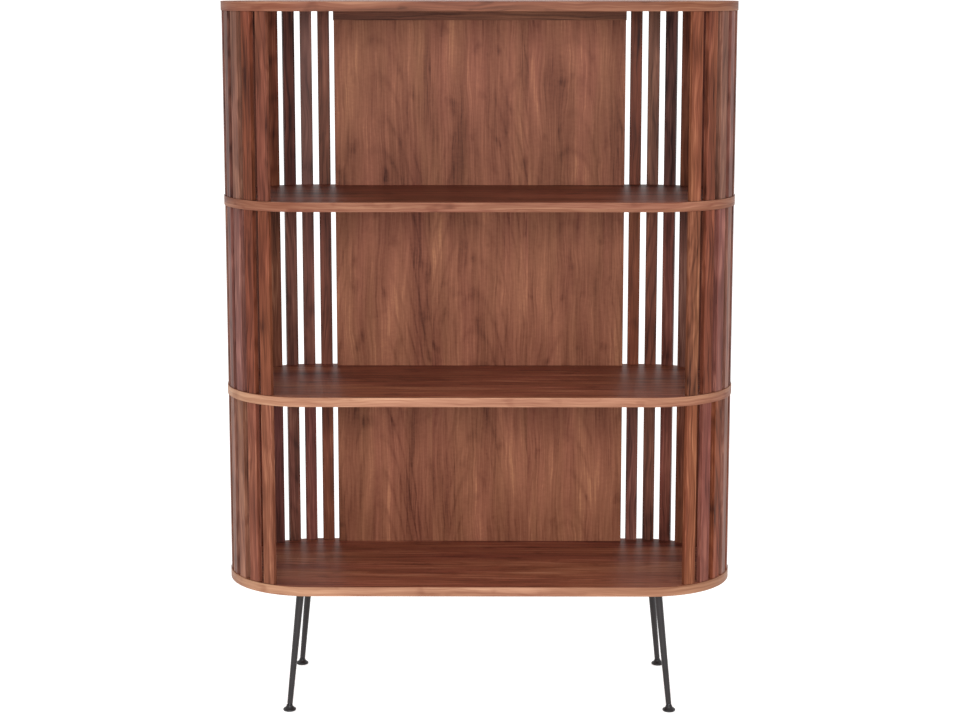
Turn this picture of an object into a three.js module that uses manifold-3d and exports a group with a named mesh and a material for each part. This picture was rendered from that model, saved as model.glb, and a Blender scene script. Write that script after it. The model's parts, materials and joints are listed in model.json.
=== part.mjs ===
// Free-standing bookcase: four rounded boards, slatted ends, a closed back and four splayed steel legs.
// Units are millimetres. +Z is up, the open front faces -Y, and the origin is on the floor under the middle.
import * as THREE from 'three';
import { mergeVertices } from 'three/addons/utils/BufferGeometryUtils.js';
import Module from 'manifold-3d';

const wasm = await Module();
wasm.setup();

// ---- driving dimensions ----
const WIDTH = 1100;
const DEPTH = 400;
const HEIGHT = 1525;
const CORNER_RADIUS = 185; // plan radius of the boards' corners
const BOARD = 20; // thickness of each board
const CLEAR = 392; // free height of each compartment
const TIERS = 3;
const GAP = 0.3; // between a cut or turned piece and its neighbour
const OVERCUT = 1; // how far a cutter runs past the face it opens

const SLAT_WIDTH = 26;
const SLAT_THICKNESS = 12;
const SLAT_PITCH = 39.6; // centre to centre, along the line of the slats
const SLATS = 14; // in each screen
const SLAT_INSET = 2; // outer face of the slats to the edge of the boards
const SPLINE_WIDTH = 6; // bent strip that holds the ends of the slats in the boards' grooves
const SPLINE_DEPTH = 6;
const SPLINE_END = 10; // the strip runs this far past the middle of the end slats

const PANEL_WIDTH = 650;
const PANEL_THICKNESS = 18;
const PANEL_INSET = 26; // front face of the back panels to the boards' rear edge
const PANEL_TO_SLAT = 11.6; // open gap between a panel's edge and the first slat
const DOWEL_DIAMETER = 8;
const DOWEL_DEPTH = 20; // how far a dowel enters each panel
const DOWEL_PLACES = [-250, 250];

const RAIL_HEIGHT = 24;
const RAIL_THICKNESS = 18;
const RAIL_SCREW_PLACES = [-240, 0, 240];
const RAIL_SCREW_GRIP = 12; // length of screw in the top board

const FOOT_X = 413; // middle of a foot on the floor
const FOOT_Y = 157;
const SPLAY = 26.5; // how far a leg leans out in x, and again in y, from board to floor
const LEG_TOP_DIAMETER = 17;
const LEG_FOOT_DIAMETER = 12;
const LEG_WALL = 1.2;
const LEG_START = 7; // lower end of the tube above the ball, along the leg
const PLATE_DIAMETER = 62;
const PLATE_THICKNESS = 3;
const PLATE_HOLE_RADIUS = 22; // of the circle that the screws stand on
const PLATE_SCREWS = 3;
const PLATE_SCREW_GRIP = 13; // length of screw in the bottom board
const SCREW_SHANK = 5;
const SCREW_HEAD = 9;
const SCREW_HEAD_HEIGHT = 3;
const SCREW_HEAD_BEVEL = 1;
const SCREW_TIP = 2;

const BALL_HEIGHT = 8; // middle of a foot's ball above the floor
const BALL_DIAMETER = 9;
const BALL_LOWEST = -Math.PI / 3; // below this angle the ball and its socket close in a shallow cone
const STUD_DIAMETER = 6;
const STUD_LENGTH = 34; // from the ball's middle to the tip
const STUD_TIP = 1;
const BUSH_LENGTH = 16;
const BUSH_START = 9; // lower end of the threaded bush above the ball
const PAD_DIAMETER = 28;
const PAD_SOLE_BEVEL = 1.5;
const PAD_SIDE = 4; // top of the disc's upright side
const PAD_TOP_BEVEL = 1.2;
const PAD_NECK_DIAMETER = 13.6; // of the conical neck at its upper end
const PAD_NECK_TOP = 11.5;
const PAD_HEIGHT = 13.2;
const PAD_MOUTH_BEVEL = 0.4;
const PAD_LIP = Math.PI / 6; // the socket reaches this far above the ball's middle

// ---- values worked out from them ----
const LEG_HEIGHT = HEIGHT - (TIERS + 1) * BOARD - TIERS * CLEAR;
const boardBase = (level) => LEG_HEIGHT + level * (BOARD + CLEAR);
const compartmentBase = (tier) => boardBase(tier) + BOARD;
const PANEL_MIDDLE = DEPTH / 2 - PANEL_INSET + PANEL_THICKNESS / 2;
const RAIL_MIDDLE = DEPTH / 2 - PANEL_INSET - RAIL_THICKNESS / 2;
const RAIL_UNDERSIDE = boardBase(TIERS) - RAIL_HEIGHT;
const RAIL_COUNTERBORE = SCREW_HEAD_HEIGHT + GAP; // the rail's screw heads sit wholly inside it
const PLATE_UNDERSIDE = LEG_HEIGHT - PLATE_THICKNESS;
const SCREW_HOLE = SCREW_SHANK + 2 * GAP;
const DOWEL_HOLE = DOWEL_DIAMETER + 2 * GAP;

// ---- how finely the round pieces are faceted ----
const ARC_DIVISIONS = 7; // a board's rounded corner gets twice as many flats
const PIN_SIDES = 10;
const STUD_SIDES = 12;
const LEG_SIDES = 16;
const PAD_SIDES = 18;
const PLATE_SIDES = 24;
const BALL_STEPS = 4;
const SOCKET_STEPS = 3;
const MERGE_DISTANCE = 1e-4;

// ---- materials ----
const walnutVeneer = new THREE.MeshStandardMaterial({ color: 0x7a4a3b, roughness: 0.5, metalness: 0 });
const solidWalnut = new THREE.MeshStandardMaterial({ color: 0x8a5645, roughness: 0.55, metalness: 0 });
const beech = new THREE.MeshStandardMaterial({ color: 0xc8a27a, roughness: 0.7, metalness: 0 });
const blackSteel = new THREE.MeshStandardMaterial({ color: 0x3a3333, roughness: 0.55, metalness: 0.3 });
const zincSteel = new THREE.MeshStandardMaterial({ color: 0xa9adb2, roughness: 0.35, metalness: 1 });
const blackNylon = new THREE.MeshStandardMaterial({ color: 0x2b2929, roughness: 0.5, metalness: 0 });

// ---- solids: joining and cutting closed meshes ----
function toSolid(geometry, matrix = new THREE.Matrix4()) {
  const bare = geometry.clone().applyMatrix4(matrix);
  bare.deleteAttribute('normal');
  bare.deleteAttribute('uv');
  const merged = mergeVertices(bare, MERGE_DISTANCE);
  const mesh = new wasm.Mesh({
    numProp: 3,
    vertProperties: new Float32Array(merged.attributes.position.array),
    triVerts: new Uint32Array(merged.index.array),
  });
  mesh.merge();
  return new wasm.Manifold(mesh);
}

function toGeometry(solid) {
  const mesh = solid.getMesh();
  const geometry = new THREE.BufferGeometry();
  geometry.setAttribute('position', new THREE.BufferAttribute(new Float32Array(mesh.vertProperties), 3));
  geometry.setIndex(new THREE.BufferAttribute(new Uint32Array(mesh.triVerts), 1));
  geometry.computeVertexNormals();
  return geometry;
}

const move = (x, y, z) => new THREE.Matrix4().makeTranslation(x, y, z);

// An upright prism: the outline in x and y, from z = 0 up to height.
function prism(outline, height) {
  return new THREE.ExtrudeGeometry(outline, { depth: height, bevelEnabled: false, curveSegments: ARC_DIVISIONS });
}

// An upright round pin or hole from z = 0 up to length.
function pin(diameter, length, sides = PIN_SIDES) {
  const geometry = new THREE.CylinderGeometry(diameter / 2, diameter / 2, length, sides);
  return geometry.rotateX(Math.PI / 2).translate(0, 0, length / 2);
}

// A turned piece about +Z from [radius, height] pairs, listed from bottom to top on the outside.
function turned(profile, sides) {
  const points = profile.map(([radius, height]) => new THREE.Vector2(radius, height));
  return new THREE.LatheGeometry(points, sides).rotateX(Math.PI / 2);
}

// ---- plan of the boards and of the line of slats ----
function roundedRectangle(width, depth, radius) {
  const x = width / 2 - radius;
  const y = depth / 2 - radius;
  const shape = new THREE.Shape();
  shape.absarc(x, -y, radius, -Math.PI / 2, 0);
  shape.absarc(x, y, radius, 0, Math.PI / 2);
  shape.absarc(-x, y, radius, Math.PI / 2, Math.PI);
  shape.absarc(-x, -y, radius, Math.PI, 1.5 * Math.PI);
  shape.closePath();
  return shape;
}

// The slats' centre line round the right-hand end: straight back edge, corner, end, corner.
// Returns the place a given distance from the middle of the back, and the outward direction there.
const LINE_RADIUS = CORNER_RADIUS - SLAT_INSET - SLAT_THICKNESS / 2;
const CORNER_X = WIDTH / 2 - CORNER_RADIUS;
const CORNER_Y = DEPTH / 2 - CORNER_RADIUS;
const ARC_LENGTH = (LINE_RADIUS * Math.PI) / 2;

function placeOnLine(distance) {
  const corner = (y, angle) => {
    const out = new THREE.Vector2(Math.cos(angle), Math.sin(angle));
    return { at: new THREE.Vector2(CORNER_X, y).addScaledVector(out, LINE_RADIUS), out };
  };
  if (distance < CORNER_X) {
    return { at: new THREE.Vector2(distance, CORNER_Y + LINE_RADIUS), out: new THREE.Vector2(0, 1) };
  }
  const inArc = distance - CORNER_X;
  if (inArc < ARC_LENGTH) return corner(CORNER_Y, Math.PI / 2 - inArc / LINE_RADIUS);
  const inEnd = inArc - ARC_LENGTH;
  if (inEnd < 2 * CORNER_Y) {
    const at = new THREE.Vector2(CORNER_X + LINE_RADIUS, CORNER_Y - inEnd);
    return { at, out: new THREE.Vector2(1, 0) };
  }
  return corner(-CORNER_Y, -(inEnd - 2 * CORNER_Y) / LINE_RADIUS);
}

const FIRST_SLAT = PANEL_WIDTH / 2 + PANEL_TO_SLAT + SLAT_WIDTH / 2;
const slatDistances = Array.from({ length: SLATS }, (_, index) => FIRST_SLAT + index * SLAT_PITCH);

// Plan of the bent strip, or with a gap, of its groove.
function splineOutline(side, gap) {
  const start = FIRST_SLAT - SPLINE_END - gap;
  const end = slatDistances[SLATS - 1] + SPLINE_END + gap;
  const places = [start, ...slatDistances, end].map(placeOnLine);
  const offset = (reach) => places.map(({ at, out }) => {
    const point = at.clone().addScaledVector(out, reach);
    return new THREE.Vector2(side * point.x, point.y);
  });
  const half = SPLINE_WIDTH / 2 + gap;
  return new THREE.Shape([...offset(half), ...offset(-half).reverse()]);
}

// ---- legs: where they stand, and the screws of their plates ----
const CORNERS = [
  { name: 'front_left', x: -1, y: -1 },
  { name: 'front_right', x: 1, y: -1 },
  { name: 'rear_left', x: -1, y: 1 },
  { name: 'rear_right', x: 1, y: 1 },
];

// Leg axis of a corner: unit vector up the leg, and the ball's middle that it passes through.
function legAxis(corner) {
  const up = new THREE.Vector3(-corner.x * SPLAY, -corner.y * SPLAY, LEG_HEIGHT);
  const lean = BALL_HEIGHT / LEG_HEIGHT;
  const ball = new THREE.Vector3(corner.x * FOOT_X, corner.y * FOOT_Y, 0).addScaledVector(up, lean);
  return { up: up.normalize(), ball };
}

function plateCentre(corner) {
  const { up, ball } = legAxis(corner);
  return ball.clone().addScaledVector(up, (PLATE_UNDERSIDE - ball.z) / up.z);
}

// Screw holes of a plate, measured from its middle, the first one pointing out to the corner.
function plateHoles(corner) {
  const first = Math.atan2(corner.y, corner.x);
  return Array.from({ length: PLATE_SCREWS }, (_, index) => {
    const angle = first + (index * 2 * Math.PI) / PLATE_SCREWS;
    return { x: PLATE_HOLE_RADIUS * Math.cos(angle), y: PLATE_HOLE_RADIUS * Math.sin(angle) };
  });
}

function plateScrewPlaces() {
  return CORNERS.flatMap((corner) => {
    const centre = plateCentre(corner);
    return plateHoles(corner).map(({ x, y }) => ({ x: centre.x + x, y: centre.y + y }));
  });
}

// ---- boards ----
const assembly = new THREE.Group();

function add(name, geometry, material, parent = assembly) {
  const mesh = new THREE.Mesh(geometry, material);
  mesh.name = name;
  parent.add(mesh);
  return mesh;
}

// Lower end of a board's dowel holes: blind in the bottom and top boards, right through the shelves.
const DOWEL_CUT = BOARD + 2 * OVERCUT;

function dowelCutBase(level) {
  if (level === 0) return BOARD / 2 - GAP;
  if (level === TIERS) return BOARD / 2 + GAP - DOWEL_CUT;
  return -OVERCUT;
}

// A board has a groove for each screen that meets it, the dowels' holes and its screws' pilot holes.
function board(level) {
  let solid = toSolid(prism(roundedRectangle(WIDTH, DEPTH, CORNER_RADIUS), BOARD));
  const cut = (geometry, x, y, z) => {
    solid = solid.subtract(toSolid(geometry, move(x, y, z)));
  };
  for (const side of [-1, 1]) {
    const groove = prism(splineOutline(side, GAP), SPLINE_DEPTH + OVERCUT);
    if (level < TIERS) cut(groove, 0, 0, BOARD - SPLINE_DEPTH);
    if (level > 0) cut(groove, 0, 0, -OVERCUT);
  }
  for (const x of DOWEL_PLACES) cut(pin(DOWEL_HOLE, DOWEL_CUT), x, PANEL_MIDDLE, dowelCutBase(level));
  if (level === TIERS) {
    const pilot = pin(SCREW_HOLE, RAIL_SCREW_GRIP + GAP + OVERCUT);
    for (const x of RAIL_SCREW_PLACES) cut(pilot, x, RAIL_MIDDLE, -OVERCUT);
  }
  if (level === 0) {
    const pilot = pin(SCREW_HOLE, PLATE_SCREW_GRIP + GAP + OVERCUT);
    for (const { x, y } of plateScrewPlaces()) cut(pilot, x, y, -OVERCUT);
  }
  return toGeometry(solid);
}

const BOARD_NAMES = ['bottom_board', 'lower_shelf', 'upper_shelf', 'top_board'];
BOARD_NAMES.forEach((name, level) => {
  add(name, board(level), walnutVeneer).position.z = boardBase(level);
});

// ---- back panels and slatted screens ----
// Back panel of one tier, with blind dowel holes in its lower and upper edges.
function backPanel() {
  const block = new THREE.BoxGeometry(PANEL_WIDTH, PANEL_THICKNESS, CLEAR);
  let solid = toSolid(block, move(0, PANEL_MIDDLE, CLEAR / 2));
  const hole = pin(DOWEL_HOLE, DOWEL_DEPTH + GAP + OVERCUT);
  for (const x of DOWEL_PLACES) {
    solid = solid.subtract(toSolid(hole, move(x, PANEL_MIDDLE, -OVERCUT)));
    solid = solid.subtract(toSolid(hole, move(x, PANEL_MIDDLE, CLEAR - DOWEL_DEPTH - GAP)));
  }
  return toGeometry(solid);
}

// Slatted screen of one end of one tier: the slats and the two bent strips glued to their ends.
function slatScreen(side) {
  const spline = prism(splineOutline(side, 0), SPLINE_DEPTH);
  const parts = [toSolid(spline, move(0, 0, -SPLINE_DEPTH)), toSolid(spline, move(0, 0, CLEAR))];
  const slat = new THREE.BoxGeometry(SLAT_WIDTH, SLAT_THICKNESS, CLEAR);
  for (const distance of slatDistances) {
    const { at, out } = placeOnLine(distance);
    const turn = new THREE.Matrix4().makeRotationZ(Math.atan2(out.y, side * out.x) - Math.PI / 2);
    parts.push(toSolid(slat, move(side * at.x, at.y, CLEAR / 2).multiply(turn)));
  }
  return toGeometry(parts.reduce((whole, part) => whole.add(part)));
}

const TIER_NAMES = ['lower', 'middle', 'upper'];
TIER_NAMES.forEach((tier, index) => {
  const base = compartmentBase(index);
  add(`${tier}_back_panel`, backPanel(), walnutVeneer).position.z = base;
  add(`left_${tier}_screen`, slatScreen(-1), solidWalnut).position.z = base;
  add(`right_${tier}_screen`, slatScreen(1), solidWalnut).position.z = base;
});

// ---- beech dowels: through each shelf into the panels above and below it, blind in the end boards ----
BOARD_NAMES.forEach((name, level) => {
  const underside = boardBase(level);
  const low = level === 0 ? underside + BOARD / 2 : underside - DOWEL_DEPTH;
  const high = level === TIERS ? underside + BOARD / 2 : underside + BOARD + DOWEL_DEPTH;
  DOWEL_PLACES.forEach((x) => {
    const hand = x < 0 ? 'left' : 'right';
    const dowel = add(`${name}_${hand}_dowel`, pin(DOWEL_DIAMETER, high - low), beech);
    dowel.position.set(x, PANEL_MIDDLE, low);
  });
});

// ---- stiffening rail under the top board, in front of the upper back panel ----
function stiffeningRail() {
  const block = new THREE.BoxGeometry(PANEL_WIDTH, RAIL_THICKNESS, RAIL_HEIGHT);
  const hole = pin(SCREW_HOLE, RAIL_HEIGHT + 2 * OVERCUT);
  const counterbore = pin(SCREW_HEAD + 2 * GAP, RAIL_COUNTERBORE + OVERCUT);
  let solid = toSolid(block, move(0, 0, RAIL_HEIGHT / 2));
  for (const x of RAIL_SCREW_PLACES) {
    solid = solid.subtract(toSolid(hole, move(x, 0, -OVERCUT)));
    solid = solid.subtract(toSolid(counterbore, move(x, 0, -OVERCUT)));
  }
  return toGeometry(solid);
}
add('top_rail', stiffeningRail(), walnutVeneer).position.set(0, RAIL_MIDDLE, RAIL_UNDERSIDE);

// Pan-head screw pointing up, its head's bearing face at z = 0.
function screw(length) {
  const head = SCREW_HEAD / 2;
  const shank = SCREW_SHANK / 2;
  return turned([
    [0, -SCREW_HEAD_HEIGHT], [head - SCREW_HEAD_BEVEL, -SCREW_HEAD_HEIGHT],
    [head, -SCREW_HEAD_HEIGHT + SCREW_HEAD_BEVEL], [head, 0],
    [shank, 0], [shank, length - SCREW_TIP], [0, length],
  ], PIN_SIDES);
}
RAIL_SCREW_PLACES.forEach((x, index) => {
  const piece = screw(RAIL_HEIGHT - RAIL_COUNTERBORE + RAIL_SCREW_GRIP);
  const fixing = add(`rail_screw_${index + 1}`, piece, zincSteel);
  fixing.position.set(x, RAIL_MIDDLE, RAIL_UNDERSIDE + RAIL_COUNTERBORE);
});

// ---- legs and levelling feet ----
const BALL_TO_PLATE = (PLATE_UNDERSIDE - BALL_HEIGHT) / legAxis(CORNERS[0]).up.z;

// Tapered tube along its own axis, z measured from the ball, and cut level just under the plate.
// toWorld places the leg's frame, so its inverse brings a level block into that frame.
function legTube(toWorld) {
  const foot = LEG_FOOT_DIAMETER / 2;
  const top = LEG_TOP_DIAMETER / 2;
  const end = BALL_TO_PLATE + top;
  const tube = turned([
    [foot - LEG_WALL, LEG_START], [foot, LEG_START], [top, end], [top - LEG_WALL, end],
    [foot - LEG_WALL, LEG_START],
  ], LEG_SIDES);
  const block = new THREE.BoxGeometry(2 * end, 2 * end, end);
  const over = new THREE.Vector3().setFromMatrixPosition(toWorld);
  const overPlate = move(over.x, over.y, PLATE_UNDERSIDE - GAP + end / 2);
  const cutter = toSolid(block, toWorld.clone().invert().multiply(overPlate));
  return toGeometry(toSolid(tube).subtract(cutter));
}

function mountingPlate(corner) {
  const hole = pin(SCREW_HOLE, PLATE_THICKNESS + 2 * OVERCUT);
  let solid = toSolid(pin(PLATE_DIAMETER, PLATE_THICKNESS, PLATE_SIDES));
  for (const { x, y } of plateHoles(corner)) solid = solid.subtract(toSolid(hole, move(x, y, -OVERCUT)));
  return toGeometry(solid);
}

// Threaded bush pressed into the lower end of the tube.
function threadedBush() {
  const outer = LEG_FOOT_DIAMETER / 2 - LEG_WALL - GAP;
  const bore = STUD_DIAMETER / 2 + GAP;
  const end = BUSH_START + BUSH_LENGTH;
  const profile = [[bore, BUSH_START], [outer, BUSH_START], [outer, end], [bore, end], [bore, BUSH_START]];
  return turned(profile, STUD_SIDES);
}

// Points on a ball round the origin, from one angle above the horizontal to another.
function ballProfile(radius, from, to, steps) {
  return Array.from({ length: steps + 1 }, (_, index) => {
    const angle = from + ((to - from) * index) / steps;
    return [radius * Math.cos(angle), radius * Math.sin(angle)];
  });
}

// Levelling stud: a ball with a threaded shank standing on it.
function levellingStud() {
  const ball = BALL_DIAMETER / 2;
  const shank = STUD_DIAMETER / 2;
  const neck = Math.acos(shank / ball);
  return turned([
    [0, -ball], ...ballProfile(ball, BALL_LOWEST, neck, BALL_STEPS),
    [shank, STUD_LENGTH - STUD_TIP], [shank - STUD_TIP, STUD_LENGTH], [0, STUD_LENGTH],
  ], STUD_SIDES);
}

// Foot pad: a low disc with a conical neck, and a round socket that keeps the ball in.
function footPad() {
  const rim = PAD_DIAMETER / 2;
  const neck = PAD_NECK_DIAMETER / 2;
  const cup = BALL_DIAMETER / 2 + GAP;
  const mouth = cup * Math.cos(PAD_LIP);
  const socket = ballProfile(cup, PAD_LIP, BALL_LOWEST, SOCKET_STEPS);
  return turned([
    [0, 0], [rim - PAD_SOLE_BEVEL, 0], [rim, PAD_SOLE_BEVEL], [rim, PAD_SIDE],
    [rim - PAD_TOP_BEVEL, PAD_SIDE + PAD_TOP_BEVEL], [neck, PAD_NECK_TOP],
    [neck - PAD_MOUTH_BEVEL, PAD_HEIGHT], [mouth, PAD_HEIGHT],
    ...socket.map(([radius, height]) => [radius, height + BALL_HEIGHT]), [0, BALL_HEIGHT - cup],
  ], PAD_SIDES);
}

for (const corner of CORNERS) {
  const { up, ball } = legAxis(corner);
  const leaning = new THREE.Group();
  leaning.position.copy(ball);
  leaning.quaternion.setFromUnitVectors(new THREE.Vector3(0, 0, 1), up);
  leaning.updateMatrix();
  assembly.add(leaning);
  add(`${corner.name}_leg`, legTube(leaning.matrix), blackSteel, leaning);
  add(`${corner.name}_bush`, threadedBush(), zincSteel, leaning);
  add(`${corner.name}_stud`, levellingStud(), zincSteel, leaning);
  add(`${corner.name}_pad`, footPad(), blackNylon).position.set(ball.x, ball.y, 0);

  const centre = plateCentre(corner);
  const plate = add(`${corner.name}_plate`, mountingPlate(corner), blackSteel);
  plate.position.set(centre.x, centre.y, PLATE_UNDERSIDE);
  plateHoles(corner).forEach(({ x, y }, index) => {
    const piece = screw(PLATE_THICKNESS + PLATE_SCREW_GRIP);
    const fixing = add(`${corner.name}_plate_screw_${index + 1}`, piece, zincSteel);
    fixing.position.set(centre.x + x, centre.y + y, PLATE_UNDERSIDE);
  });
}

export default assembly;
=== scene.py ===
# Free-standing walnut bookcase with rounded, slatted ends, on splayed steel legs with levelling feet.
# Metres, +Z up, the open front faces -Y. The structure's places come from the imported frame.
import json
import math

import bpy
import numpy as np
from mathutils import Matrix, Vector


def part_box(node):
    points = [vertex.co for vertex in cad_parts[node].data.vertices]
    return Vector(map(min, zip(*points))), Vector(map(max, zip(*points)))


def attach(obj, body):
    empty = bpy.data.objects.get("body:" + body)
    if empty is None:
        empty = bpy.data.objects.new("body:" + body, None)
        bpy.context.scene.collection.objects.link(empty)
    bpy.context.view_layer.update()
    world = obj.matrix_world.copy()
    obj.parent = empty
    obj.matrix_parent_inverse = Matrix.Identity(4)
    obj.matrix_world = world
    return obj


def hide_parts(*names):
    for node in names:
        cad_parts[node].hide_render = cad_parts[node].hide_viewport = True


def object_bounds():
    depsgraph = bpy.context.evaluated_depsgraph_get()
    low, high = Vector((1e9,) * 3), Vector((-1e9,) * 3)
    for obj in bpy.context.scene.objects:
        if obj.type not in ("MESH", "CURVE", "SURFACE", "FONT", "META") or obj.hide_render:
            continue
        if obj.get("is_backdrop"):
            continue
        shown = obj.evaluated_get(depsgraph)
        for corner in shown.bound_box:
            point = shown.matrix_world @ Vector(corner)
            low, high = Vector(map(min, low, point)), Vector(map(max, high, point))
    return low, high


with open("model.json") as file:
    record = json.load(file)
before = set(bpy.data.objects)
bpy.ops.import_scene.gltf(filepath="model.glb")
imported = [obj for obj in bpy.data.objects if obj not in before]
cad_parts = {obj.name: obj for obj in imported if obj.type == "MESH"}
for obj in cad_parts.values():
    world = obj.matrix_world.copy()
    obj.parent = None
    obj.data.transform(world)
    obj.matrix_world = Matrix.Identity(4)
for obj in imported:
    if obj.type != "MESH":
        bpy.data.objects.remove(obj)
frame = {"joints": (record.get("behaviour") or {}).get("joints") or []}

cad_low, cad_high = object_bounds()
MM = 0.001


# ---- Walnut ------------------------------------------------------------------------------------
# Every wooden part that shows is walnut under clear satin lacquer: red-brown, with darker late
# wood, a few knots and slow changes of tone. Veneer lies in leaves, cut one after another.
NOISE_LOW, NOISE_HIGH = 0.3, 0.7  # nearly all the values of a noise texture lie between these


def linear(colour):
    """An sRGB hex colour as linear red, green, blue and alpha."""
    channels = np.array([int(colour[i:i + 2], 16) for i in (1, 3, 5)]) / 255
    light = np.where(channels <= 0.04045, channels / 12.92, ((channels + 0.055) / 1.055) ** 2.4)
    return (*light.tolist(), 1.0)


def add(tree, kind, settings=None, inputs=None):
    """Adds a node. settings are its properties; inputs are plain values or the sockets to link."""
    made = tree.nodes.new(kind)
    for key, value in (settings or {}).items():
        setattr(made, key, value)
    for key, value in (inputs or {}).items():
        if isinstance(value, bpy.types.NodeSocket):
            tree.links.new(value, made.inputs[key])
        else:
            made.inputs[key].default_value = value
    return made


def grain_noise(tree, place, width, length, detail):
    """Soft noise of the given size across and along the grain, in metres, about a half."""
    scale = (1 / width, 1 / width, 1 / length)
    stretched = add(tree, "ShaderNodeVectorMath", {"operation": "MULTIPLY"}, {0: place, 1: scale})
    noise = add(tree, "ShaderNodeTexNoise", None,
                {"Vector": stretched.outputs[0], "Scale": 1.0, "Detail": detail})
    return noise.outputs["Fac"]


LEAF_STEP = 0.37  # each leaf of veneer shows the log this much further on
SWAY = 30 * MM  # how far the grain wanders to the side
SWAY_WIDTH, SWAY_LENGTH = 75 * MM, 210 * MM
RING_WIDTH = 9 * MM  # wide for walnut, because narrower rings are too fine to show
RING_SHARPNESS = 5.0
RING_PATCH_WIDTH, RING_PATCH_LENGTH = 80 * MM, 420 * MM
RING_PATCH_FAINT, RING_PATCH_BOLD = 0.44, 0.66  # the noise where the rings start and are full
PITH_DEPTH = 60 * MM  # how far behind the face the pith lies
PITH_LEAN = 0.11  # and how much further for each metre along the grain
KNOT_WIDTH, KNOT_LENGTH = 34 * MM, 60 * MM
KNOT_EDGE, KNOT_MIDDLE = 0.6, 0.8  # the noise where a knot starts and is full
KNOT_WEIGHT = 0.25
HUE_DRIFT = 0.02
DRIFT_WIDTH, DRIFT_LENGTH = 45 * MM, 400 * MM
PORE_WIDTH, PORE_LENGTH = 0.8 * MM, 12 * MM  # some four times the real width, so as to show
PORE_DEPTH = 0.3 * MM
PORE_ROUGHNESS = 0.16


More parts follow.
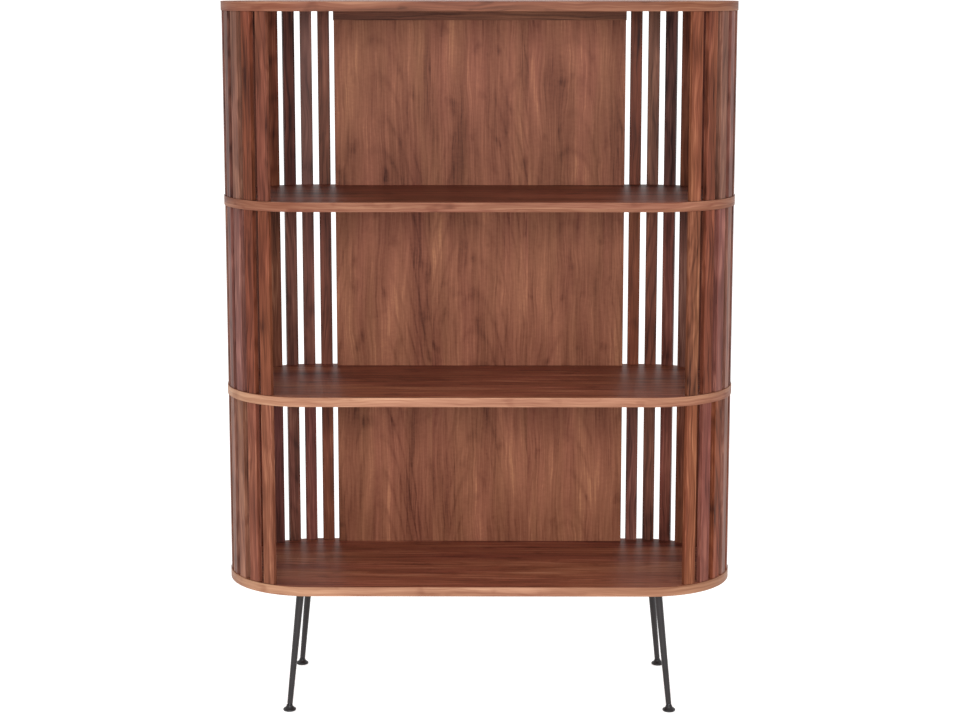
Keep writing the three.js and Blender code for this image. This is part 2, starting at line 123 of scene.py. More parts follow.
def walnut(name, tones, layers, ring_weight, leaf, roughness, bump):
    """Walnut under clear satin lacquer, drawn in the timber's own directions.

    The attribute "grain" holds metres across, through and along the grain, which sways sideways.
    Each layer is noise stretched along it, given as (width, length, weight). Dark late wood is a
    high power of a wave of the distance from a leaning pith: arches in the middle of a leaf and
    lines beside them. leaf is a veneer leaf's width. "slat" adds a piece's tone, hue and
    strength of colour: the slats' own, and for the boards their own tone with painted shade.
    """
    material = bpy.data.materials.new(name)
    material.use_nodes = True
    tree = material.node_tree
    shader = tree.nodes["Principled BSDF"]
    grain = add(tree, "ShaderNodeAttribute", {"attribute_name": "grain"}).outputs["Vector"]
    # the attribute "slat": each piece's tone, hue and strength of colour; for the boards the tone is
    # partly painted shade
    tone_and_painted_shade = add(tree, "ShaderNodeAttribute", {"attribute_name": "slat"}).outputs["Vector"]
    tone_and_painted_shade = add(tree, "ShaderNodeSeparateXYZ", None, {0: tone_and_painted_shade})
    parts = add(tree, "ShaderNodeSeparateXYZ", None, {0: grain})

    # which leaf of veneer this is, how far from its middle, and another part of the log for each
    leaves = add(tree, "ShaderNodeMath", {"operation": "DIVIDE"}, {0: parts.outputs[0], 1: leaf})
    number = add(tree, "ShaderNodeMath", {"operation": "ROUND"}, {0: leaves.outputs[0]})
    within = add(tree, "ShaderNodeMath", {"operation": "MULTIPLY_ADD"},
                 {0: number.outputs[0], 1: -leaf, 2: parts.outputs[0]})
    deeper = add(tree, "ShaderNodeMath", {"operation": "MULTIPLY_ADD"},
                 {0: number.outputs[0], 1: LEAF_STEP, 2: parts.outputs[1]})
    straight = add(tree, "ShaderNodeCombineXYZ", None,
                   {0: within.outputs[0], 1: deeper.outputs[0], 2: parts.outputs[2]}).outputs[0]
    sway = grain_noise(tree, straight, SWAY_WIDTH, SWAY_LENGTH, 3.0)
    across = add(tree, "ShaderNodeMath", {"operation": "MULTIPLY_ADD"},
                 {0: sway, 1: SWAY, 2: within.outputs[0]})
    place = add(tree, "ShaderNodeCombineXYZ", None,
                {0: across.outputs[0], 1: deeper.outputs[0], 2: parts.outputs[2]}).outputs[0]

    # late wood, bold in some patches and faint in others
    lean = add(tree, "ShaderNodeMath", {"operation": "MULTIPLY_ADD"},
               {0: parts.outputs[2], 1: PITH_LEAN, 2: PITH_DEPTH})
    pith = add(tree, "ShaderNodeCombineXYZ", None, {0: across.outputs[0], 1: lean.outputs[0]})
    radius = add(tree, "ShaderNodeVectorMath", {"operation": "LENGTH"}, {0: pith.outputs[0]})
    phase = add(tree, "ShaderNodeMath", {"operation": "MULTIPLY"},
                {0: radius.outputs["Value"], 1: 2 * math.pi / RING_WIDTH})
    wave = add(tree, "ShaderNodeMath", {"operation": "SINE"}, {0: phase.outputs[0]})
    wave = add(tree, "ShaderNodeMath", {"operation": "MULTIPLY_ADD"},
               {0: wave.outputs[0], 1: 0.5, 2: 0.5})
    late = add(tree, "ShaderNodeMath", {"operation": "POWER"}, {0: wave.outputs[0], 1: RING_SHARPNESS})
    bold = grain_noise(tree, straight, RING_PATCH_WIDTH, RING_PATCH_LENGTH, 2.0)
    bold = add(tree, "ShaderNodeMapRange", None,
               {"Value": bold, "From Min": RING_PATCH_FAINT, "From Max": RING_PATCH_BOLD})
    late = add(tree, "ShaderNodeMath", {"operation": "MULTIPLY"},
               {0: late.outputs[0], 1: bold.outputs[0]})
    knot = grain_noise(tree, place, KNOT_WIDTH, KNOT_LENGTH, 2.0)
    knot = add(tree, "ShaderNodeMapRange", None,
               {"Value": knot, "From Min": KNOT_EDGE, "From Max": KNOT_MIDDLE})

    # the sum of all layers runs from dark to light, about a half
    start = 0.5 - sum(weight for _, _, weight in layers) / 2
    total = add(tree, "ShaderNodeMath", {"operation": "ADD"}, {0: tone_and_painted_shade.outputs[0], 1: start})
    total = add(tree, "ShaderNodeMath", {"operation": "MULTIPLY_ADD"},
                {0: late.outputs[0], 1: -ring_weight, 2: total.outputs[0]})
    total = add(tree, "ShaderNodeMath", {"operation": "MULTIPLY_ADD"},
                {0: knot.outputs[0], 1: -KNOT_WEIGHT, 2: total.outputs[0]})
    for width, length, weight in layers:
        streak = grain_noise(tree, place, width, length, 1.5)
        total = add(tree, "ShaderNodeMath", {"operation": "MULTIPLY_ADD"},
                    {0: streak, 1: weight, 2: total.outputs[0]})
    ramp = add(tree, "ShaderNodeValToRGB", None, {0: total.outputs[0]})
    stops = ramp.color_ramp.elements
    while len(stops) < len(tones):
        stops.new(0.5)
    for index, tone in enumerate(tones):
        stops[index].position = index / (len(tones) - 1)
        stops[index].color = linear(tone)

    # red-brown and purple-brown drift slowly into each other
    drift = grain_noise(tree, place, DRIFT_WIDTH, DRIFT_LENGTH, 1.0)
    hue = add(tree, "ShaderNodeMath", {"operation": "MULTIPLY_ADD"},
              {0: drift, 1: HUE_DRIFT, 2: 0.5 - HUE_DRIFT / 2})
    hue = add(tree, "ShaderNodeMath", {"operation": "ADD"}, {0: hue.outputs[0], 1: tone_and_painted_shade.outputs[1]})
    strength = add(tree, "ShaderNodeMath", {"operation": "ADD"}, {0: tone_and_painted_shade.outputs[2], 1: 1.0})
    colour = add(tree, "ShaderNodeHueSaturation", None,
                 {"Hue": hue.outputs[0], "Saturation": strength.outputs[0], "Color": ramp.outputs[0]})
    tree.links.new(colour.outputs[0], shader.inputs["Base Color"])

    # open pores hold less lacquer: a little rougher, and a little lower
    pores = grain_noise(tree, place, PORE_WIDTH, PORE_LENGTH, 1.0)
    rough = add(tree, "ShaderNodeMath", {"operation": "MULTIPLY_ADD"},
                {0: pores, 1: -PORE_ROUGHNESS, 2: roughness + PORE_ROUGHNESS / 2})
    height = add(tree, "ShaderNodeBump", None,
                 {"Height": pores, "Strength": bump, "Distance": PORE_DEPTH})
    tree.links.new(rough.outputs[0], shader.inputs["Roughness"])
    tree.links.new(height.outputs[0], shader.inputs["Normal"])

    # the lacquer is thin, and veils the colour of the wood only a little
    shader.inputs["IOR"].default_value = 1.5
    shader.inputs["Specular IOR Level"].default_value = 0.07
    return material


# ---- Boards ------------------------------------------------------------------------------------
# Four boards of 20 mm particle board, faced with crown-cut walnut veneer whose grain runs along
# the bookcase. A bent strip of paler solid walnut is glued round each edge and butts at the back.
BOARD_NAMES = ["bottom_board", "lower_shelf", "upper_shelf", "top_board"]
BOARD_CORNER = 185 * MM
BAND_THICKNESS = 1.5 * MM
BAND_ARRIS = 0.45 * MM
CORNER_STEPS = 48
ARRIS_STEPS = 4
BOARD_LEAF = 200 * MM
LOG_STEP = 0.61  # each board is faced from this much further along and into the log
BOARD_LAYERS = [(45 * MM, 600 * MM, 0.8), (12 * MM, 300 * MM, 0.8), (4 * MM, 200 * MM, 1.0),
                (1.8 * MM, 80 * MM, 0.8), (9 * MM, 4 * MM, 0.12)]
EDGE_LAYERS = [(45 * MM, 600 * MM, 0.8), (12 * MM, 300 * MM, 0.5), (4 * MM, 200 * MM, 0.5),
               (2 * MM, 80 * MM, 0.4)]
board_veneer = walnut(
    "walnut board veneer, satin lacquer", ["#33150c", "#663628", "#854b37", "#a56d54"],
    BOARD_LAYERS, 0.15, BOARD_LEAF, 0.42, 0.12)
edge_walnut = walnut(
    "walnut edge band, satin lacquer", ["#3f2217", "#6b4130", "#8b624c", "#ad8469"],
    EDGE_LAYERS, 0.06, BOARD_LEAF, 0.45, 0.12)

# how much lighter each board's veneer and edge band are: partly their own tone, because no two
# were cut together, and partly painted shade and light, darker on the upper boards and lighter
# on the lower ones
BOARD_TONES_AND_SHADE = [0.09, 0.07, -0.1, 0.0]
EDGE_TONES_AND_SHADE = [0.18, 0.21, -0.01, -0.12]


def loft(name, rings, material, body, slot, closed=False, **attributes):
    """Joins rings of points, an array [copy, ring, point, xyz], into one skin for each copy.

    Neighbouring points of neighbouring rings make a quad. The first and last ring are capped or,
    where closed is True, joined to each other. Rings run anticlockwise seen from the last one.
    attributes are arrays like rings, kept on the points for the material.
    """
    copies, count, points, _ = rings.shape
    index = np.arange(copies * count * points).reshape(copies, count, points)
    here = index if closed else index[:, :-1]
    there = np.roll(index, -1, 1) if closed else index[:, 1:]
    quads = np.stack([here, np.roll(here, -1, 2), np.roll(there, -1, 2), there], -1)
    faces = quads.reshape(-1, 4).tolist()
    if not closed:
        faces += index[:, 0, ::-1].tolist() + index[:, -1].tolist()
    mesh = bpy.data.meshes.new(name)
    mesh.from_pydata(rings.reshape(-1, 3), [], faces)
    mesh.shade_smooth()
    for key, values in attributes.items():
        stored = mesh.attributes.new(key, "FLOAT_VECTOR", "POINT")
        stored.data.foreach_set("vector", values.astype(np.float32).ravel())
    mesh.materials.append(material)
    piece = bpy.data.objects.new(name, mesh)
    bpy.context.scene.collection.objects.link(piece)
    flats = piece.modifiers.new("flat faces keep flat shading", "WEIGHTED_NORMAL")
    flats.weight = 100
    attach(piece, body)
    return piece


def board_outline(low, high, inset):
    """Plan of a board, anticlockwise from the middle of the back: a quarter circle at each corner.

    Returns the points, the inward directions there and the distance travelled.
    """
    turns = np.linspace(0, math.pi / 2, CORNER_STEPS + 1)
    back = math.pi / 2
    corners = [turns + math.pi / 2 * quarter for quarter in (1, 2, 3, 4)]
    angle = np.concatenate([[back], *corners, [back + 2 * math.pi]])
    x, y = high.x - BOARD_CORNER, high.y - BOARD_CORNER
    centres = np.repeat([[-x, y], [-x, -y], [x, -y], [x, y]], CORNER_STEPS + 1, 0)
    centres = np.concatenate([[[0, y]], centres, [[0, y]]])
    outward = np.stack([np.cos(angle), np.sin(angle)], -1)
    points = centres + (BOARD_CORNER - inset) * outward
    steps = np.linalg.norm(np.diff(points, axis=0), axis=1)
    return points, -outward, np.concatenate([[0], np.cumsum(steps)])


def quarter_arcs(width, height, radius, steps):
    """A rectangle from (0, 0) to (width, height) with rounded corners, anticlockwise."""
    turns = np.linspace(0, math.pi / 2, steps + 1)
    angle = np.concatenate([turns + math.pi / 2 * quarter for quarter in range(4)])
    sides = np.array([[1, 1], [0, 1], [0, 0], [1, 0]])
    centres = radius + sides * (np.array([width, height]) - 2 * radius)
    return np.repeat(centres, steps + 1, 0) + radius * np.stack([np.cos(angle), np.sin(angle)], -1)


for level, name in enumerate(BOARD_NAMES):
    low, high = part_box(name)
    plan, _, _ = board_outline(low, high, BAND_THICKNESS)
    plan = plan[:-1]
    core = np.zeros((1, 2, len(plan), 3))
    core[..., :2] = plan
    core[0, :, :, 2] = [[low.z], [high.z]]
    timber = core[..., [1, 2, 0]] + [0, LOG_STEP * level, LOG_STEP * level]
    tone = np.zeros_like(core)
    # the board's tone, partly painted shade and light, goes to the material in the attribute "slat"
    tone[..., 0] = BOARD_TONES_AND_SHADE[level]
    board = loft(name + "_veneered", core, board_veneer, "case", "walnut_veneer",
                 grain=timber, slat=tone)
    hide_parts(name)

    path, inward, travelled = board_outline(low, high, 0)
    section = quarter_arcs(BAND_THICKNESS, high.z - low.z, BAND_ARRIS, ARRIS_STEPS)
    strip = np.zeros((1, len(path), len(section), 3))
    strip[0, :, :, :2] = path[:, None] + inward[:, None] * section[:, :1]
    strip[0, :, :, 2] = low.z + section[:, 1]
    timber = np.zeros_like(strip)
    timber[0, :, :, 0] = low.z + section[:, 1]
    timber[0, :, :, 1] = section[:, 0]
    timber[0, :, :, 2] = travelled[:, None]
    tone = np.zeros_like(strip)
    # the edge band's tone, partly painted shade and light
    tone[..., 0] = EDGE_TONES_AND_SHADE[level]
    loft(name + "_edge_band", strip, edge_walnut, "case", "solid_walnut", grain=timber, slat=tone)


# ---- Back panels -------------------------------------------------------------------------------
# An 18 mm panel closes the back of each compartment between the screens. It is faced on both
# sides with walnut veneer, its grain upright, in leaves that are about a third of its width.
PANEL_NAMES = ["lower_back_panel", "middle_back_panel", "upper_back_panel"]
PANEL_ARRIS = 0.8 * MM
EASED_FROM = math.radians(20)  # the first of the curve is lost in the flat end
PANEL_LEAF = 218 * MM
PANEL_LAYERS = [(60 * MM, 260 * MM, 0.9), (14 * MM, 240 * MM, 0.4), (4.5 * MM, 180 * MM, 0.5),
                (2 * MM, 90 * MM, 0.5), (9 * MM, 5 * MM, 0.16)]
panel_veneer = walnut(
    "walnut panel veneer, satin lacquer", ["#3a1a10", "#6a3e2d", "#85543f", "#a87454"],
    PANEL_LAYERS, 0.16, PANEL_LEAF, 0.45, 0.12)


def eased_block(low, high, arris):
    """An upright block with rounded edges, as rings up its height.

    Each ring is a rectangle with rounded corners; the first and last rings step in along a
    quarter circle, so that the upper and lower edges are eased too.
    """
    turns = np.linspace(EASED_FROM, math.pi / 2, ARRIS_STEPS)
    step = arris * (1 - np.sin(turns))
    rise = arris * (np.cos(turns[0]) - np.cos(turns))
    inset = np.concatenate([step, step[::-1]])
    level = np.concatenate([low[2] + rise, high[2] - rise[::-1]])
    width, depth = high[0] - low[0], high[1] - low[1]
    ring = quarter_arcs(width, depth, arris, ARRIS_STEPS) - np.array([width, depth]) / 2
    shrink = 1 - 2 * inset[:, None] / np.array([width, depth])
    rings = np.empty((1, len(inset), len(ring), 3))
    middle = np.array([low[0] + high[0], low[1] + high[1]]) / 2
    rings[0, :, :, :2] = ring * shrink[:, None] + middle
    rings[0, :, :, 2] = level[:, None]
    return rings


for name in PANEL_NAMES:
    block = eased_block(*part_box(name), PANEL_ARRIS)
    panel = loft(name + "_veneered", block, panel_veneer, "case", "walnut_veneer", grain=block)
    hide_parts(name)


# ---- Stiffening rail ---------------------------------------------------------------------------
# A walnut rail under the top board, against the upper back panel, keeps the board from sagging.
# Its grain runs along the bookcase, and three screws go up through it into the board.
# the rail's tones are a darker copy of the board veneer's: painted shade, for the shadow under the top
# board
rail_walnut_painted_shade = walnut(
    "walnut rail, darkened with painted shade, satin lacquer", ["#331a11", "#573426", "#6c4331", "#865943"],
    BOARD_LAYERS, 0.15, BOARD_LEAF, 0.45, 0.12)
block = eased_block(*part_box("top_rail"), PANEL_ARRIS)
rail = loft("top_rail_walnut", block, rail_walnut_painted_shade, "case", "walnut_veneer",
            grain=block[..., [2, 1, 0]])
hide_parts("top_rail")


# ---- Slatted screens ---------------------------------------------------------------------------
# Fourteen solid walnut slats stand round each end of each compartment, with open gaps between
# them. Every slat is sawn from a different board, so each has its own tone, hue and figure.
SLATS = 14
SLAT_WIDTH = 26 * MM
SLAT_THICKNESS = 12 * MM
SLAT_PITCH = 39.6 * MM
SLAT_INSET = 2 * MM
SLAT_ARRIS = 1.3 * MM
FIRST_SLAT = 349.6 * MM  # middle of the first slat, along the line from the middle of the back
SLAT_LAYERS = [(30 * MM, 110 * MM, 0.8), (9 * MM, 220 * MM, 0.8), (3 * MM, 160 * MM, 0.8),
               (1.6 * MM, 60 * MM, 0.6)]
SLAT_LEAF = 1.0  # far wider than a slat, because solid wood has no seams
slat_walnut = walnut(
    "solid walnut slats, satin lacquer", ["#2c1410", "#532c20", "#6c3c2d", "#905b46"],
    SLAT_LAYERS, 0.26, SLAT_LEAF, 0.42, 0.15)

# the maker's sorting of the slats, from the back to the front of each screen: the tone, hue and
# strength that each shade adds, and a little more that differs from stick to stick
SHADES = {
    "r": (0.0, 0.0, 0.0),         # red-brown
    "o": (0.05, 0.004, 0.02),     # orange-brown
    "p": (-0.04, -0.004, -0.08),  # purple-brown
    "d": (-0.2, -0.007, -0.12),   # near black-brown
    "t": (0.09, 0.005, -0.12),    # tan
    "g": (0.04, -0.003, -0.15),   # grey-brown
}
SLAT_SHADES = {
    "left_lower": "rppdrogrprttoo", "left_middle": "rpprgrportggro", "left_upper": "rgdrprotrpgtrr",
    "right_lower": "ppprropgdrtopo", "right_middle": "rrpgrdorgptpro", "right_upper": "rtdrpgroprgtoo",
}
TIER_TONES = [0.07, 0.02, -0.03]  # the slats of the lower screens are lighter
SHADE_SPREAD = np.array([0.05, 0.004, 0.05])
LOG_SPREAD = 3.0  # metres of timber, up and down, that the slats are sawn from
SORTING_SEED = 7


def slat_line(distance):
    """Centre line of the slats round the right-hand end, from the middle of the back.

    It runs straight along the back, turns a quarter circle, crosses the short straight end and
    turns again. Returns the places, and the outward directions there.
    """
    radius = BOARD_CORNER - SLAT_INSET - SLAT_THICKNESS / 2
    straight = cad_high.x - BOARD_CORNER
    half_end = cad_high.y - BOARD_CORNER
    quarter = radius * math.pi / 2
    rear_turn = ((distance - straight) / radius).clip(0, math.pi / 2)
    crossed = (distance - straight - quarter).clip(0, 2 * half_end)
    front_turn = ((distance - straight - quarter - 2 * half_end) / radius).clip(0, math.pi / 2)
    angle = math.pi / 2 - rear_turn - front_turn
    outward = np.stack([np.cos(angle), np.sin(angle)], -1)
    centres = np.stack([np.minimum(distance, straight), half_end - crossed], -1)
    return centres + radius * outward, outward


rng = np.random.default_rng(SORTING_SEED)
half_slat = np.array([SLAT_WIDTH, SLAT_THICKNESS]) / 2
places, outwards = slat_line(FIRST_SLAT + SLAT_PITCH * np.arange(SLATS))
for level, tier in enumerate(["lower", "middle", "upper"]):
    floor_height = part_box(BOARD_NAMES[level])[1].z
    ceiling_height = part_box(BOARD_NAMES[level + 1])[0].z
    stick = eased_block((*-half_slat, floor_height), (*half_slat, ceiling_height), SLAT_ARRIS)[0]
    for side, hand in ((-1, "left"), (1, "right")):
        mirror = np.array([side, 1])
        outward = (outwards * mirror)[:, None, None]
        tangent = np.stack([outward[..., 1], -outward[..., 0]], -1)
        slats = np.empty((SLATS, *stick.shape))
        turned_stick = stick[..., :1] * tangent + stick[..., 1:2] * outward
        slats[..., :2] = (places * mirror)[:, None, None] + turned_stick
        slats[..., 2] = stick[..., 2]
        log = rng.uniform(-LOG_SPREAD, LOG_SPREAD, (SLATS, 1, 1, 3)) + stick
        shade = np.array([SHADES[letter] for letter in SLAT_SHADES[f"{hand}_{tier}"]])
        shade[:, 0] += TIER_TONES[level]
        tone_and_painted_shade = shade + rng.uniform(-1, 1, (SLATS, 3)) * SHADE_SPREAD
        tone_and_painted_shade = tone_and_painted_shade[:, None, None] + np.zeros_like(slats)
        node_name = f"{hand}_{tier}_screen"
        screen = loft(node_name + "_slats", slats, slat_walnut, "case", "solid_walnut",
                      grain=log, slat=tone_and_painted_shade)
        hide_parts(node_name)


# ---- Dowels ------------------------------------------------------------------------------------
# Fluted beech dowels, 8 mm thick, locate the panels on the boards. They are sealed inside, and
# their ten flutes let the glue out.
FLUTES = 10
FLUTE_DEPTH = 0.35 * MM
DOWEL_CHAMFER = 1 * MM
RAY_FLECKS = (900, 900, 60)  # to the metre: about 1.1 mm across the grain and 17 mm along it
beech = bpy.data.materials.new("beech dowel, turned and fluted")
beech.use_nodes = True
tree = beech.node_tree
object_place = add(tree, "ShaderNodeTexCoord").outputs["Object"]
stretched = add(tree, "ShaderNodeVectorMath", {"operation": "MULTIPLY"},
                {0: object_place, 1: RAY_FLECKS})
rays = add(tree, "ShaderNodeTexNoise", None,
           {"Vector": stretched.outputs[0], "Scale": 1.0, "Detail": 3.0})
ramp = add(tree, "ShaderNodeValToRGB", None, {0: rays.outputs["Fac"]})
stops = ramp.color_ramp.elements
stops[0].position = NOISE_LOW
stops[0].color = linear("#b98f63")
stops[1].position = NOISE_HIGH
stops[1].color = linear("#dcb98c")
shader = tree.nodes["Principled BSDF"]
tree.links.new(ramp.outputs[0], shader.inputs["Base Color"])
shader.inputs["Roughness"].default_value = 0.65


def turned(centre, up, profile, sides=48, flute=0.0, flutes=0):
    """A piece turned about an axis: profile is (radius, height) up the axis from centre.

    Each ring is a circle; with flutes its radius dips by flute, as a cosine, that many times.
    """
    up = np.array(up) / np.linalg.norm(up)
    first = np.cross([0, 1, 0], up)
    first /= np.linalg.norm(first)
    second = np.cross(up, first)
    angle = np.linspace(0, 2 * math.pi, sides, endpoint=False)
    dip = flute * (1 - np.cos(flutes * angle)) / 2
    profile = np.array(profile)
    radius = profile[:, :1] - dip * (profile[:, :1] > 2 * flute)
    circle = np.cos(angle)[:, None] * first + np.sin(angle)[:, None] * second
    rings = np.array(centre) + radius[..., None] * circle + profile[:, 1:, None] * up
    return rings[None]


for name in BOARD_NAMES:
    for hand in ("left", "right"):
        node_name = f"{name}_{hand}_dowel"
        low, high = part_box(node_name)
        radius = (high.x - low.x) / 2
        length = high.z - low.z
        centre = ((low.x + high.x) / 2, (low.y + high.y) / 2, low.z)
        profile = [(radius - DOWEL_CHAMFER, 0), (radius, DOWEL_CHAMFER),
                   (radius, length - DOWEL_CHAMFER), (radius - DOWEL_CHAMFER, length)]
        shape = turned(centre, (0, 0, 1), profile, 8 * FLUTES, FLUTE_DEPTH, FLUTES)
        dowel = loft(node_name + "_fluted", shape, beech, "case", "beech")
        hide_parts(node_name)


# ---- Legs and mounting plates ------------------------------------------------------------------
# Each leg is a tapered steel tube, welded to a round plate that three screws hold under the
# bottom board. Tube, plate and weld are powder coated together, in a satin brown-black.
CORNERS = ["front_left", "front_right", "rear_left", "rear_right"]
BALL_HEIGHT = 8 * MM  # the middle of a foot's ball, above the floor
LEG_FOOT_RADIUS = 6 * MM
LEG_TOP_RADIUS = 8.5 * MM
LEG_WALL = 1.2 * MM
LEG_START = 7 * MM  # lower end of the tube above the ball, along the leg
LEG_END_EDGE = 0.3 * MM
LEG_RINGS = 24
WELD = 1.6 * MM
WELD_RIPPLES = 26
WELD_UNEVENNESS = 0.18
WELD_SINK = 0.2 * MM
WELD_POINTS = 12
PLATE_EDGE = 0.5 * MM
PLATE_EDGE_CUT = 0.15 * MM  # what the rounded edge takes off a sharp corner, each way
COAT_CLOUD = 40  # slow changes of tone and gloss are this many times as wide as the grit
COAT_TONE_SPREAD = 0.15
COAT_GLOSS_SPREAD = 0.12
foot_joints = {joint["child"]: joint for joint in frame["joints"] if joint["type"] == "slide"}


def coated(name, colour, roughness, grit, depth, specular=0.5, metallic=0.0):
    """A hard coat, moulding or plating: one colour, with a fine even texture, grit wide."""
    material = bpy.data.materials.new(name)
    material.use_nodes = True
    tree = material.node_tree
    shader = tree.nodes["Principled BSDF"]
    place = add(tree, "ShaderNodeTexCoord").outputs["Object"]
    peel = add(tree, "ShaderNodeTexNoise", None, {"Vector": place, "Scale": 1 / grit, "Detail": 2.0})
    cloud = add(tree, "ShaderNodeTexNoise", None,
                {"Vector": place, "Scale": 1 / (COAT_CLOUD * grit), "Detail": 2.0})
    ramp = add(tree, "ShaderNodeValToRGB", None, {0: cloud.outputs["Fac"]})
    stops = ramp.color_ramp.elements
    tone = np.array(linear(colour))[:3]
    stops[0].position = NOISE_LOW
    stops[0].color = (*(tone * (1 - COAT_TONE_SPREAD)), 1)
    stops[1].position = NOISE_HIGH
    stops[1].color = (*(tone * (1 + COAT_TONE_SPREAD)), 1)
    rough = add(tree, "ShaderNodeMath", {"operation": "MULTIPLY_ADD"},
                {0: cloud.outputs["Fac"], 1: COAT_GLOSS_SPREAD, 2: roughness - COAT_GLOSS_SPREAD / 2})
    bump = add(tree, "ShaderNodeBump", None,
               {"Height": peel.outputs["Fac"], "Strength": 0.25, "Distance": depth})
    tree.links.new(ramp.outputs[0], shader.inputs["Base Color"])
    tree.links.new(rough.outputs[0], shader.inputs["Roughness"])
    tree.links.new(bump.outputs[0], shader.inputs["Normal"])
    shader.inputs["Specular IOR Level"].default_value = specular
    shader.inputs["Metallic"].default_value = metallic
    return material


def leg_axis(corner):
    """The middle of a foot's ball, over the middle of its pad, and the unit vector up the leg."""
    low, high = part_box(corner + "_pad")
    up = -np.array(foot_joints[corner + "_foot"]["axis"])
    return np.array([(low.x + high.x) / 2, (low.y + high.y) / 2, BALL_HEIGHT]), up / np.linalg.norm(up)


powder_coat = coated("satin brown-black powder coat", "#211d1e", 0.36, 0.8 * MM, 0.1 * MM, specular=0.3)

for corner in CORNERS:
    ball, up = leg_axis(corner)
    plate_low, plate_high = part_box(corner + "_plate")
    leg_length = (plate_low.z - ball[2]) / up[2]
    taper = (LEG_TOP_RADIUS - LEG_FOOT_RADIUS) / (leg_length - LEG_START)

    # the tube's wall: up the outside, over the level upper end, down the inside
    reach = np.linspace(LEG_START, leg_length, LEG_RINGS)
    outside = np.stack([LEG_FOOT_RADIUS + taper * (reach - LEG_START), reach], -1)
    inside = outside[::-1] - [LEG_WALL, 0]
    foot_edge = [(LEG_FOOT_RADIUS - LEG_WALL / 2, LEG_START - LEG_END_EDGE)]
    tube = turned(ball, up, np.concatenate([foot_edge, outside, inside]))
    above = tube[..., 2] - plate_low.z
    top = slice(LEG_RINGS - 1, LEG_RINGS + 3)
    tube[:, top] -= (above[:, top] / up[2])[..., None] * up
    leg = loft(corner + "_leg_tube", tube, powder_coat, "case", "black_powder_coat", closed=True)
    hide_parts(corner + "_leg")

    # the weld: a rippled bead round the tube, in the angle under the plate
    around = np.linspace(0, 2 * math.pi, 8 * WELD_RIPPLES, endpoint=False)
    seat = ball + up * leg_length
    swell = WELD * (1 + WELD_UNEVENNESS * np.cos(WELD_RIPPLES * around))[:, None]
    section = np.linspace(0, 2 * math.pi, WELD_POINTS, endpoint=False)
    bead_reach = LEG_TOP_RADIUS + swell * np.cos(section)
    bead = np.empty((1, len(around), len(section), 3))
    bead[0, :, :, 0] = seat[0] + bead_reach * np.cos(around)[:, None]
    bead[0, :, :, 1] = seat[1] + bead_reach * np.sin(around)[:, None]
    bead[0, :, :, 2] = seat[2] - WELD_SINK - swell * (0.5 - 0.5 * np.sin(section))
    loft(corner + "_leg_weld", bead[:, ::-1], powder_coat, "case", "black_powder_coat", closed=True)

    radius = (plate_high.x - plate_low.x) / 2
    thickness = plate_high.z - plate_low.z
    middle = ((plate_low.x + plate_high.x) / 2, (plate_low.y + plate_high.y) / 2, plate_low.z)
    profile = [(radius - PLATE_EDGE, 0), (radius - PLATE_EDGE_CUT, PLATE_EDGE_CUT),
               (radius, PLATE_EDGE), (radius, thickness - PLATE_EDGE),
               (radius - PLATE_EDGE_CUT, thickness - PLATE_EDGE_CUT), (radius - PLATE_EDGE, thickness)]
    plate = loft(corner + "_plate_disc", turned(middle, (0, 0, 1), profile, 96), powder_coat,
                 "case", "black_powder_coat")
    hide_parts(corner + "_plate")


# ---- Screws, bushes and levelling studs --------------------------------------------------------
# Zinc-plated steel: pan-head screws under the plates and the rail, a threaded bush pressed into
# the foot of each leg, and in it an M6 stud, whose ball carries the foot.
HEAD_RADIUS = 4.5 * MM
HEAD_HEIGHT = 3 * MM
HEAD_EDGE = 0.1 * MM
HEAD_RIM = 0.35  # the height of the head at its rim, as a share of its height in the middle
HEAD_RINGS = 22
HEAD_FIRST_RING = 0.04  # radius of the innermost ring, as a share of the head's
RECESS_DEPTH = 1.5 * MM
RECESS_WIDTH = 0.55 * MM
RECESS_REACH = 2.6 * MM
SHANK_RADIUS = 2.5 * MM
POINT_RADIUS = 0.3 * MM
POINT_LENGTH = 5 * MM
SCREW_SIDES = 64
BUSH_START = 9 * MM
BUSH_LENGTH = 16 * MM
BUSH_GAP = 0.3 * MM  # left round the stud and inside the tube
BUSH_CHAMFER = 0.3 * MM
STUD_RADIUS = 3 * MM
STUD_LENGTH = 34 * MM
STUD_SIDES = 36
BALL_RADIUS = 4.5 * MM
BALL_LOWEST = math.radians(-75)
BALL_RINGS = 18
NECK_SHARE = 0.75  # the neck's radius as a share of the stud's
PITCH = 1 * MM
THREAD_DEPTH = 0.55 * MM
THREAD_START = 6.5 * MM
THREAD_STEPS = 6  # rings to a turn
zinc = coated("bright zinc-plated steel", "#b3b7bb", 0.34, 0.5 * MM, 0.04 * MM, metallic=1.0)


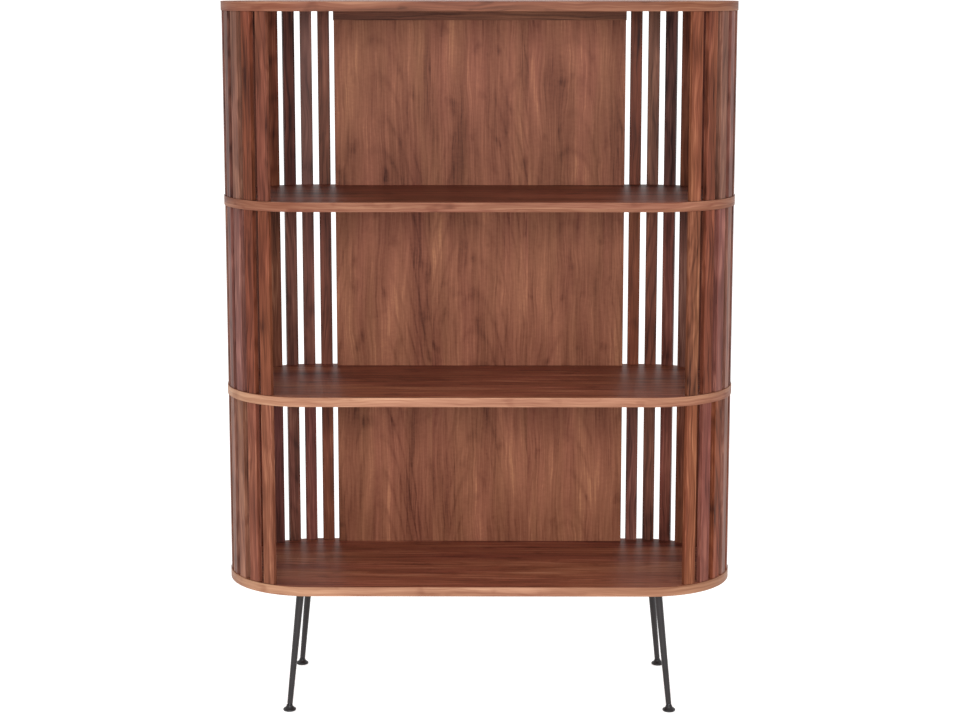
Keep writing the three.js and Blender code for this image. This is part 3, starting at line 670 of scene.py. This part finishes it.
def pan_screw(seat, length):
    """A screw that points up from seat, as rings from the middle of its head to its tip.

    The head's height falls as a quarter ellipse from the middle to the rim. A cross recess is
    taken out of it: deep where a point is near either of two crossed lines, and short of the rim.
    """
    angle = np.linspace(0, 2 * math.pi, SCREW_SIDES, endpoint=False)
    spread = np.linspace(HEAD_FIRST_RING, 1, HEAD_RINGS)[:, None] * HEAD_RADIUS
    x = spread * np.cos(angle)
    y = spread * np.sin(angle)
    near = 1 - (np.minimum(abs(x), abs(y)) / RECESS_WIDTH).clip(0, 1) ** 3
    inner = 1 - (spread / RECESS_REACH).clip(0, 1) ** 4
    crown = np.sqrt((1 - (spread / HEAD_RADIUS) ** 2).clip(0, 1))
    dome = -HEAD_HEIGHT * (HEAD_RIM + (1 - HEAD_RIM) * crown)
    top = np.stack([x, y, dome + RECESS_DEPTH * near * inner], -1)
    profile = np.array([(HEAD_RADIUS, -HEAD_EDGE), (HEAD_RADIUS - HEAD_EDGE, 0), (SHANK_RADIUS, 0),
                        (SHANK_RADIUS, length - POINT_LENGTH), (POINT_RADIUS, length)])
    below = np.stack([profile[:, :1] * np.cos(angle), profile[:, :1] * np.sin(angle),
                      np.repeat(profile[:, 1:], len(angle), 1)], -1)
    return (np.concatenate([top, below]) + np.array(seat))[None]


def zinc_screw(node_name):
    """Puts a screw on a CAD screw's axis, from its bearing face to its tip."""
    low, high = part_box(node_name)
    seat = ((low.x + high.x) / 2, (low.y + high.y) / 2, low.z + HEAD_HEIGHT)
    piece = loft(node_name + "_pan_head", pan_screw(seat, high.z - seat[2]), zinc, "case", "zinc_steel")
    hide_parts(node_name)


for number in (1, 2, 3):
    zinc_screw(f"rail_screw_{number}")
    for corner in CORNERS:
        zinc_screw(f"{corner}_plate_screw_{number}")

for corner in CORNERS:
    ball, up = leg_axis(corner)
    bore = STUD_RADIUS + BUSH_GAP
    outer = LEG_FOOT_RADIUS - LEG_WALL - BUSH_GAP
    end = BUSH_START + BUSH_LENGTH
    profile = [(bore + BUSH_CHAMFER, BUSH_START), (outer, BUSH_START), (outer, end), (bore, end),
               (bore, BUSH_START + BUSH_CHAMFER)]
    bush = loft(corner + "_threaded_bush", turned(ball, up, profile), zinc, "case", "zinc_steel",
                closed=True)
    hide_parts(corner + "_bush")

    # the ball, a plain neck, then the thread: its radius is a triangle wave of height less turn
    neck = math.acos(NECK_SHARE * STUD_RADIUS / BALL_RADIUS)
    turns = np.linspace(BALL_LOWEST, neck, BALL_RINGS)
    ball_profile = BALL_RADIUS * np.stack([np.cos(turns), np.sin(turns)], -1)
    heights = np.arange(THREAD_START, STUD_LENGTH, PITCH / THREAD_STEPS)
    stem_profile = np.stack([np.full_like(heights, STUD_RADIUS), heights], -1)
    stud = turned(ball, up, np.concatenate([ball_profile, stem_profile]), STUD_SIDES)
    turn = np.linspace(0, 1, STUD_SIDES, endpoint=False)
    wave = abs(((heights[:, None] / PITCH - turn) % 1) * 2 - 1) * THREAD_DEPTH
    narrowed = (1 - wave / STUD_RADIUS)[..., None]
    axis_points = ball + heights[:, None, None] * up
    stem = stud[0, len(ball_profile):]
    stud[0, len(ball_profile):] = axis_points + (stem - axis_points) * narrowed
    piece = loft(corner + "_threaded_stud", stud, zinc, corner + "_foot", "zinc_steel")
    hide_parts(corner + "_stud")


# ---- Foot pads ---------------------------------------------------------------------------------
# Black nylon, injection moulded: a low disc with a soft rim and a conical neck, with a round
# socket in it that snaps over the stud's ball. The sole is flat.
PAD_RADIUS = 14 * MM
PAD_NECK = 6.8 * MM
PAD_HEIGHT = 13.2 * MM
RIM_WIDTH = 2.4 * MM
RIM_HEIGHT = 5.2 * MM
CONE_INSET = 2.6 * MM
CONE_HEIGHT = 6.6 * MM
CONE_CURVE = 1.7  # the power by which the cone draws in towards the neck
LIP_STEP = 0.1 * MM
LIP_WIDTH = 0.8 * MM
LIP_HEIGHT = 0.7 * MM
SOCKET_GAP = 0.3 * MM
SOCKET_TOP = math.radians(30)
SOCKET_BOTTOM = math.radians(-85)
MOUTH_FLARE = 0.3 * MM
nylon = coated("moulded black nylon", "#1c191a", 0.42, 0.6 * MM, 0.06 * MM, specular=0.3)

for corner in CORNERS:
    ball, _ = leg_axis(corner)
    turns = np.linspace(-math.pi / 2, math.pi / 2, 9)
    rim = np.stack([PAD_RADIUS - RIM_WIDTH + RIM_WIDTH * np.cos(turns),
                    RIM_HEIGHT / 2 * (1 + np.sin(turns))], -1)
    rise = np.linspace(0, 1, 12)[:, None]
    flare = (1 - rise) ** CONE_CURVE
    cone = np.concatenate([PAD_NECK + (PAD_RADIUS - CONE_INSET - PAD_NECK) * flare,
                           RIM_HEIGHT + CONE_HEIGHT * rise], 1)
    lip = np.array([(PAD_NECK - LIP_STEP, PAD_HEIGHT - LIP_HEIGHT), (PAD_NECK - LIP_WIDTH, PAD_HEIGHT)])
    cup = BALL_RADIUS + SOCKET_GAP
    turns = np.linspace(SOCKET_TOP, SOCKET_BOTTOM, 12)
    socket = np.stack([cup * np.cos(turns), ball[2] + cup * np.sin(turns)], -1)
    mouth = [(cup * math.cos(SOCKET_TOP) + MOUTH_FLARE, PAD_HEIGHT)]
    profile = np.concatenate([rim, cone, lip, mouth, socket])
    pad = loft(corner + "_moulded_pad", turned((ball[0], ball[1], 0), (0, 0, 1), profile, 72), nylon,
               corner + "_foot", "black_nylon")
    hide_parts(corner + "_pad")


# ---- Floor, light and camera -------------------------------------------------------------------
# A plain pale floor in a white studio, lit all round. One wide softbox stands high in front, so
# the edges and slats that face it are the brightest and the boards shade what is under them.
FLOOR_SIZE = 2000.0  # so wide that its far edge lies on the horizon
bpy.ops.mesh.primitive_plane_add(size=FLOOR_SIZE)
ground = bpy.context.object
ground.name = "studio_floor"
pale = bpy.data.materials.new("pale matt floor, lit from below")
pale.use_nodes = True
floor_shader = pale.node_tree.nodes["Principled BSDF"]
floor_shader.inputs["Base Color"].default_value = linear("#f4f4f4")
floor_shader.inputs["Roughness"].default_value = 0.9
floor_shader.inputs["Specular IOR Level"].default_value = 0.0
floor_shader.inputs["Emission Color"].default_value = (1, 1, 1, 1)
floor_shader.inputs["Emission Strength"].default_value = 0.4
ground.data.materials.append(pale)
ground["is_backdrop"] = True

world = bpy.data.worlds.new("white studio")
world.use_nodes = True
world.node_tree.nodes["Background"].inputs["Color"].default_value = (1, 1, 1, 1)
world.node_tree.nodes["Background"].inputs["Strength"].default_value = 1.0
bpy.context.scene.world = world
bpy.context.scene.view_settings.view_transform = "Standard"

lamp = bpy.data.lights.new("front softbox", "AREA")
lamp.shape = "RECTANGLE"
lamp.size = 2.6
lamp.size_y = 1.4
lamp.energy = 170
softbox = bpy.data.objects.new("front softbox", lamp)
bpy.context.scene.collection.objects.link(softbox)
softbox.location = (0, -4.6, 1.9)
aim = Vector((0, 0, 0.7)) - softbox.location
softbox.rotation_euler = aim.to_track_quat("-Z", "Y").to_euler()
softbox.visible_camera = False

CAMERA_HEIGHT = 1.56
CAMERA_DISTANCE = 4.474
CAMERA_SIDE = 0.0195
LOOK_DOWN = math.radians(8.99)
LOOK_LEFT = math.radians(0.236)
view = bpy.data.cameras.new("front view")
view.lens = 77.74
view.shift_y = -0.05
camera = bpy.data.objects.new("front view", view)
camera.location = (CAMERA_SIDE, -CAMERA_DISTANCE, CAMERA_HEIGHT)
camera.rotation_euler = (math.pi / 2 - LOOK_DOWN, 0, LOOK_LEFT)
bpy.context.scene.collection.objects.link(camera)
bpy.context.scene.camera = camera

low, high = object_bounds()
